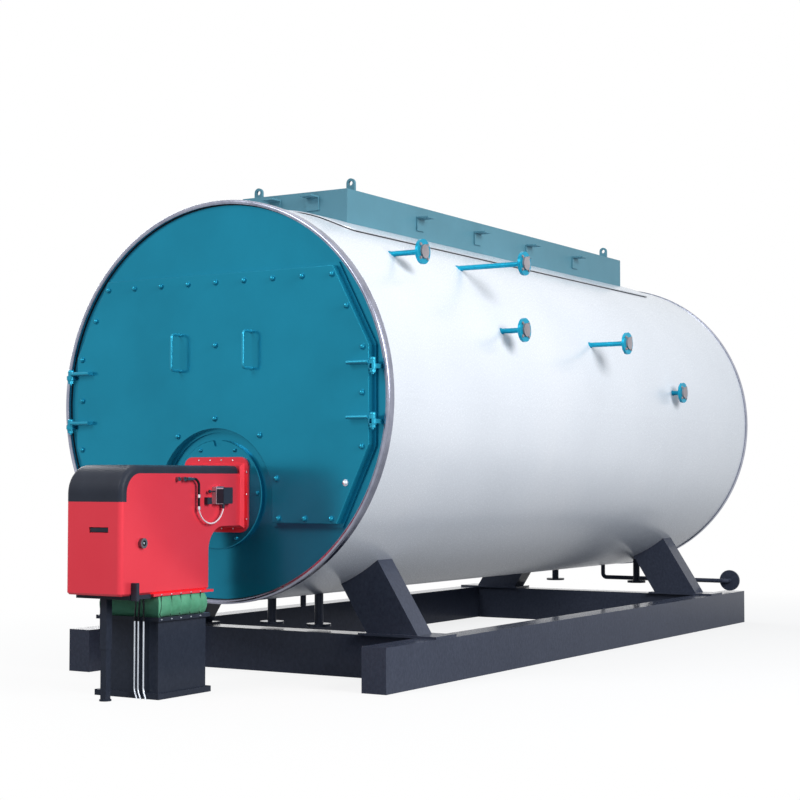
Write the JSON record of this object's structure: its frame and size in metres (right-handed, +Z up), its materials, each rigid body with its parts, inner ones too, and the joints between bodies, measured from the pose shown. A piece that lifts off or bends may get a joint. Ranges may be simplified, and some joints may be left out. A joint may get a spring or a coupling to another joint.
{
  "type": "industrial boiler",
  "caption": "Horizontal fire-tube boiler: clad drum on a steel skid, bolted front door over a forced-draught burner, side pipe connections and a top curb with lifting eyes.",
  "frame": {"origin": "floor level under the boiler axis, at the middle of the front cross beam", "axes": "+X to the side with the pipe connections, +Y along the boiler to its rear, +Z up; the burner end faces -Y"},
  "size_m": [2.8138, 7.584, 3.3489],
  "materials": {
    "cladding": "glossy white cladding sheet",
    "trim_steel": "brushed",
    "teal_paint": "satin teal paint",
    "nozzle_blue": "satin bright blue paint",
    "cap_grey": "matte grey-brown",
    "inner_steel": "bare scaled steel",
    "skid_black": "satin blue-black paint",
    "burner_red": "glossy red paint",
    "hood_black": "matte dark grey",
    "terminal_grey": "matte pale grey",
    "bellows_green": "coated green fabric",
    "bright_steel": "bright zinc plate",
    "hose_rubber": "matte black rubber"
  },
  "bodies": {
    "boiler": {"burner_base_flange": "burner_red", "burner_boss": "teal_paint", "burner_flange": "burner_red", "burner_hood": "hood_black", "burner_housing": "burner_red", "burner_post": "skid_black", "burner_tray": "skid_black", "cable_conduits": "bright_steel", "cladding_shell": "cladding", "conduit_hoses": "hose_rubber", "curb_cleats": "teal_paint", "curb_deck": "teal_paint", "curb_walls": "teal_paint", "door_seat": "teal_paint", "drain_pipe": "skid_black", "drain_stubs": "skid_black", "duct_bellows": "bellows_green", "feed_nozzle": "nozzle_blue", "flue_outlet": "teal_paint", "front_cross_beam": "skid_black", "front_gauge_nozzle": "nozzle_blue", "front_left_saddle": "skid_black", "front_plate": "teal_paint", "front_right_saddle": "skid_black", "front_trim_ring": "trim_steel", "furnace_mouth": "inner_steel", "hinge_lugs": "teal_paint", "impulse_fittings": "bright_steel", "impulse_hose": "hose_rubber", "junction_box": "hood_black", "left_hinge_bolts": "teal_paint", "left_rail": "skid_black", "lifting_lugs": "teal_paint", "lower_gauge_nozzle": "nozzle_blue", "nozzle_caps": "cap_grey", "pressure_switch": "hood_black", "rear_cover": "teal_paint", "rear_cross_beam": "skid_black", "rear_left_saddle": "skid_black", "rear_plate": "teal_paint", "rear_right_saddle": "skid_black", "rear_trim_ring": "trim_steel", "right_rail": "skid_black", "saddle_base_plates": "skid_black", "sample_nozzle": "nozzle_blue", "sight_glass": "bright_steel", "supply_duct": "skid_black", "switch_lead": "bright_steel", "switch_terminals": "terminal_grey", "top_sheet": "cladding", "tube_plate": "inner_steel", "upper_gauge_nozzle": "nozzle_blue"},
    "door": {"front_door": "teal_paint", "door_straps": "teal_paint", "right_hinge_bolts": "teal_paint", "door_handles": "teal_paint"}
  },
  "joints": [
    {"name": "front_door_hinge", "type": "hinge", "parent": "boiler", "child": "door", "pos_m": [-1.20963, -0.8205, 1.8], "axis": [0, 0, -1], "range_deg": [0, 20]}
  ]
}
